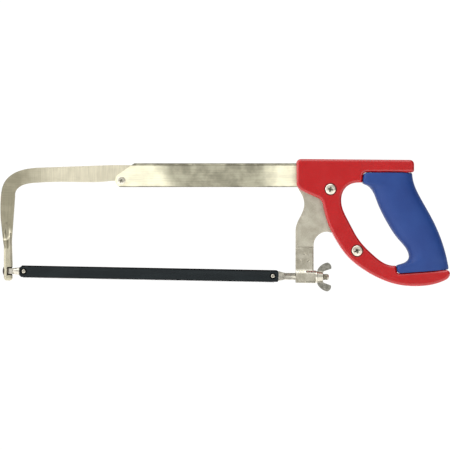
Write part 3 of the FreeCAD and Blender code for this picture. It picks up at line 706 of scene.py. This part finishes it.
# ---- Front stud -------------------------------------------------------------------------------
# A turned stud with a square neck: its domed head bears on the leg, and its tongue holds a
# pressed-in blade pin with a rounded end.

def painted_neck_shadow(tree, place):
    """Painted shadow on the neck inside the notch, and clean from there on, with a blotched edge."""
    SHADOW_EDGE = -0.4045, -0.4015
    along = add(tree, "ShaderNodeSeparateXYZ", {0: place}).outputs[0]
    blotches = ramp(tree, noise(tree, place, 1.2), 0.3, 0.7, -0.15, 0.15)
    return maths(tree, "ADD", ramp(tree, along, *SHADOW_EDGE, 0.05, 0.90), blotches)


# The stud's neck has a painted shadow where it goes into the notch.
stud_with_neck_shadow = nickel("satin_nickel_with_painted_shadow_at_the_neck", "C6C2B6", "3A2B1F", 0.34, grain_mm=0.8,
                    mottle_mm=2.0, relief_mm=0.02, tone=painted_neck_shadow)
finished("front_stud", "hooked_front_stud", stud_with_neck_shadow, "front_stud", 0.25)
finished("front_blade_pin", "front_pin", bright_nickel, "front_stud", 0.1)


# ---- Tension stud -----------------------------------------------------------------------------
# A flattened spade with a pin, a square shank that can't turn in the sleeve, and a rolled thread
# of about 20 turns to the inch on its end.

THREAD_PITCH = 1.27
THREAD_DEPTH = 0.62
THREAD_OUTER = 3.4
THREAD_START, THREAD_END = 38.7, 56.1
TIP_LENGTH, TIP_TAPER = 0.8, 0.7
RUN_OUT = 0.4

along = (rear_pin - front_pin).normalized()
tilt = math.atan2(-along.z, along.x)
to_line = Matrix.Translation((rear_pin.x, 0, rear_pin.z)) @ Matrix.Rotation(tilt, 4, "Y")


def thread_tree(material):
    """A helical ridge along Z from a spiral and a four-cornered profile."""
    tree, sizes = node_tree("rolled_thread", {"Core": 2.8 * MM, "Turns": 13.0, "Length": 16 * MM,
                                              "Depth": THREAD_DEPTH * MM})
    helix = add(tree, "GeometryNodeCurveSpiral", {"Resolution": 24, "Rotations": sizes["Turns"],
                                                  "Start Radius": sizes["Core"], "End Radius": sizes["Core"],
                                                  "Height": sizes["Length"]})
    upright = add(tree, "GeometryNodeSetCurveNormal", {"Curve": helix.outputs[0]}, mode="Z_UP")
    profile = add(tree, "GeometryNodeCurvePrimitiveCircle", {"Resolution": 4, "Radius": sizes["Depth"]})
    ridge = add(tree, "GeometryNodeCurveToMesh", {"Curve": upright.outputs[0],
                                                  "Profile Curve": profile.outputs[0], "Fill Caps": True})
    end_tree(tree, ridge.outputs[0], material)
    return tree


def cylinder(shape, radius_mm, start_mm, end_mm, end_radius_mm=None):
    """A closed cylinder or cone along the tension line, from the rear pin."""
    end_radius_mm = radius_mm if end_radius_mm is None else end_radius_mm
    place = (to_line @ Matrix.Translation(((start_mm + end_mm) / 2 * MM, 0, 0))
             @ Matrix.Rotation(math.radians(90), 4, "Y"))
    bmesh.ops.create_cone(shape, cap_ends=True, segments=36, radius1=radius_mm * MM,
                          radius2=end_radius_mm * MM, depth=(end_mm - start_mm) * MM, matrix=place)


# A forged and rolled stud is even and satin, with no streaks.
satin_stud = nickel("satin_nickel_on_forged_stud", "B4B0A3", "98948A", 0.36, grain_mm=0.8,
                    mottle_mm=3.0, relief_mm=0.02)
shape = merged_copy("tension_stud")
cut_off(shape, to_line @ Vector((THREAD_START * MM, 0, 0)), along)
break_edges(shape, 0.25)
core = THREAD_OUTER - THREAD_DEPTH
cylinder(shape, core, THREAD_START - 1, THREAD_END - TIP_LENGTH)
cylinder(shape, core, THREAD_END - TIP_LENGTH, THREAD_END, core - TIP_TAPER)
run = THREAD_END - TIP_LENGTH - THREAD_START - 2 * RUN_OUT
ridge = grown(thread_tree(satin_stud), bpy.data.meshes.new("thread_seed"), Core=core * MM,
              Turns=run / THREAD_PITCH, Length=run * MM)
ridge.transform(to_line @ Matrix.Translation(((THREAD_START + RUN_OUT) * MM, 0, 0))
                @ Matrix.Rotation(math.radians(90), 4, "Y"))
shape.from_mesh(ridge)
bmesh.ops.recalc_face_normals(shape, faces=shape.faces)
stud_mesh = to_mesh(shape, "spade_tension_stud")
stud_mesh.set_sharp_from_angle(angle=math.radians(35))
stud = show("spade_tension_stud", stud_mesh, satin_stud, "tension_stud",
            ["tension_stud"])
even_normals(stud)
finished("rear_blade_pin", "rear_pin", bright_nickel, "tension_stud", 0.1)


# ---- Blade ------------------------------------------------------------------------------------
# Hardened steel strip painted satin black, with 24 set teeth to the inch milled along its lower edge. The
# paint is thicker and blacker along both edges, and deep black in a ring round each of the two holes.

TOOTH_PITCH = 25.4 / 24
TOOTH_DEPTH = 0.75
TOOTH_ROOT = 0.12
TOOTH_RAKE = 0.16
TOOTH_SET_DEGREES = 9
PLAIN_END = 4.0


def in_line(tree, place):
    """The place turned about the rear pin, so that the tension line runs along X."""
    return add(tree, "ShaderNodeVectorRotate", {"Vector": place, "Center": (rear_pin.x, 0, rear_pin.z),
                                                "Angle": -tilt}, rotation_type="Y_AXIS").outputs[0]


def distance_from(tree, place, kept_axes, centre):
    """How far the place is from a line: the axis left out of those kept."""
    flat = add(tree, "ShaderNodeVectorMath", {0: place, 1: kept_axes}, operation="MULTIPLY").outputs[0]
    return add(tree, "ShaderNodeVectorMath", {0: flat, 1: centre}, operation="DISTANCE").outputs["Value"]


def black_paint():
    """Satin black, deep black where the paint has gathered along the edges, and deep black in a ring round
    each hole.
    """
    EDGE_BEGINS, EDGE_FULL = 4.6, 5.4
    RING_FULL, RING_ENDS = 2.9, 3.5
    EDGE_SHIFT = 0.35
    material, tree, shader = new_material("satin_black_paint_on_strip")
    place = add(tree, "ShaderNodeTexCoord").outputs["Object"]
    local = in_line(tree, place)
    height = maths(tree, "SUBTRACT", add(tree, "ShaderNodeSeparateXYZ", {0: local}).outputs[2], rear_pin.z)
    from_middle = maths(tree, "ABSOLUTE", maths(tree, "ADD", height, EDGE_SHIFT * MM))
    face = ramp(tree, from_middle, EDGE_BEGINS * MM, EDGE_FULL * MM, 1.0, 0.0)
    for pin in (front_pin, rear_pin):
        centre = Matrix.Translation((rear_pin.x, 0, rear_pin.z)) @ to_line.inverted() @ pin
        away = distance_from(tree, local, (1, 0, 1), (centre.x, 0, centre.z))
        face = maths(tree, "MULTIPLY", face, ramp(tree, away, RING_FULL * MM, RING_ENDS * MM))
    drift = noise(tree, place, 8.0, detail=3.0, stretch=(5, 1, 1))
    worn = mix_colour(tree, ramp(tree, drift, 0.3, 0.7), srgb("181C1E"), srgb("1C2123"))
    tree.links.new(mix_colour(tree, face, srgb("010101"), worn), shader.inputs["Base Color"])
    # The strip's rolling marks show through the paint, drawn ten times as coarse as they are.
    grain = noise(tree, place, 0.6, stretch=(6, 1, 1))
    tree.links.new(ramp(tree, grain, 0.3, 0.7, 0.42, 0.54), shader.inputs["Roughness"])
    shader.inputs["Specular IOR Level"].default_value = 0.08
    bump(tree, shader, grain, 0.01, 0.6)
    return material


def teeth_tree(material):
    """The seed tooth repeated along X, each next one bent the other way for the set."""
    tree, sizes = node_tree("set_teeth", {"Count": 240, "Pitch": TOOTH_PITCH * MM,
                                          "Set": math.radians(TOOTH_SET_DEGREES)})
    step = add(tree, "ShaderNodeCombineXYZ", {0: sizes["Pitch"]})
    line = add(tree, "GeometryNodeMeshLine", {"Count": sizes["Count"], "Offset": step.outputs[0]})
    odd = maths(tree, "MODULO", add(tree, "GeometryNodeInputIndex").outputs[0], 2.0)
    way = maths(tree, "SUBTRACT", maths(tree, "MULTIPLY", odd, 2.0), 1.0)
    lean = add(tree, "ShaderNodeCombineXYZ", {0: maths(tree, "MULTIPLY", way, sizes["Set"])})
    teeth = add(tree, "GeometryNodeInstanceOnPoints", {"Points": line.outputs[0],
                                                       "Instance": sizes["Geometry"],
                                                       "Rotation": lean.outputs[0]})
    end_tree(tree, teeth.outputs[0], material)
    return tree


blade_paint = black_paint()
shape = merged_copy("saw_blade")
corners = [to_line.inverted() @ v.co for v in shape.verts]
left, right = min(p.y for p in corners), max(p.y for p in corners)
gullet = min(p.z for p in corners) + TOOTH_DEPTH * MM
cut_off(shape, to_line @ Vector((0, 0, gullet)), to_line.to_3x3() @ Vector((0, 0, -1)))
break_edges(shape, 0.08)
toothed_from = min(p.x for p in corners) + PLAIN_END * MM
toothed_to = max(p.x for p in corners) - PLAIN_END * MM
half_thick = (right - left) / 2
profile = ((0.0, TOOTH_ROOT), (TOOTH_PITCH, TOOTH_ROOT), (TOOTH_RAKE * TOOTH_PITCH, -TOOTH_DEPTH))
tooth = bpy.data.meshes.new("tooth")
tooth.from_pydata([(x * MM, y, z * MM) for y in (-half_thick, half_thick) for x, z in profile], [],
                  [(0, 1, 2), (5, 4, 3), (0, 3, 4, 1), (1, 4, 5, 2), (2, 5, 3, 0)])
count = int((toothed_to - toothed_from) / (TOOTH_PITCH * MM))
teeth = grown(teeth_tree(blade_paint), tooth, Count=count)
teeth.transform(to_line @ Matrix.Translation((toothed_from, (left + right) / 2, gullet)))
shape.from_mesh(teeth)
bmesh.ops.recalc_face_normals(shape, faces=shape.faces)
blade_mesh = to_mesh(shape, "toothed_blade")
blade_mesh.set_sharp_from_angle(angle=math.radians(35))
show("toothed_blade", blade_mesh, blade_paint, "blade", ["saw_blade"])


# ---- Wing nut and washer ----------------------------------------------------------------------
# A cast wing nut that bears on a plain washer. The casting's skin is rough and grey under thin
# nickel, and only its turned hub is bright.

def cast_nickel():
    """A pitted grey skin that scatters the light, and a smoother, brighter hub."""
    HUB_ENDS, SKIN_BEGINS = 5.6, 6.6
    material, tree, shader = new_material("thin_nickel_on_rough_casting")
    place = add(tree, "ShaderNodeTexCoord").outputs["Object"]
    away = distance_from(tree, in_line(tree, place), (0, 1, 1), (0, 0, rear_pin.z))
    turned_hub = ramp(tree, away, HUB_ENDS * MM, SKIN_BEGINS * MM, 1.0, 0.0)
    pits = noise(tree, place, 0.9, detail=4.0)
    patches = noise(tree, place, 3.0, detail=3.0)
    skin = mix_colour(tree, ramp(tree, patches, 0.3, 0.7), srgb("6B6A62"), srgb("87857D"))
    tree.links.new(mix_colour(tree, turned_hub, skin, srgb("B2AEA1")), shader.inputs["Base Color"])
    shader.inputs["Metallic"].default_value = 1.0
    tree.links.new(ramp(tree, turned_hub, 0.0, 1.0, 0.48, 0.24), shader.inputs["Roughness"])
    rough = maths(tree, "MULTIPLY", pits, ramp(tree, turned_hub, 0.0, 1.0, 1.0, 0.1))
    bump(tree, shader, rough, 0.25)
    return material


finished("wing_nut", "cast_wing_nut", cast_nickel(), "wing_nut", 0.8, 38)
finished("thrust_washer", "plain_washer", bright_nickel, "wing_nut", 0.25)
